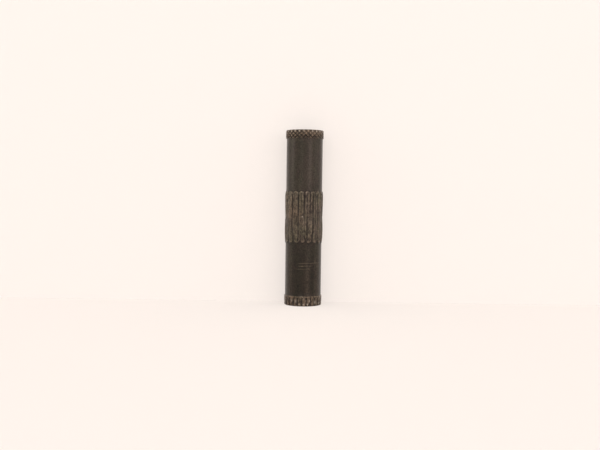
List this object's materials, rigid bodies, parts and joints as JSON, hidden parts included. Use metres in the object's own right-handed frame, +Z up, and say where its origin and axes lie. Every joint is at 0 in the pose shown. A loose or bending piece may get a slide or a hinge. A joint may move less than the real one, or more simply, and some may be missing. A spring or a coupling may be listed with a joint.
{
  "type": "spring pin",
  "caption": "Solid blackened steel pin with a plain shank, a knurled collar at each end and a longer ridged band at the middle that grips its bore.",
  "frame": {"origin": "centre of the lower end face, on which the pin stands", "axes": "+Z up the pin's axis, towards the end with the crossed knurl; the side shown in the picture faces -Y"},
  "size_m": [0.0062, 0.0062, 0.028],
  "materials": {
    "blackened_steel": "black oxide, brown where the knurled crests are worn"
  },
  "bodies": {
    "root": {"spring_pin": "blackened_steel"}
  },
  "joints": []
}
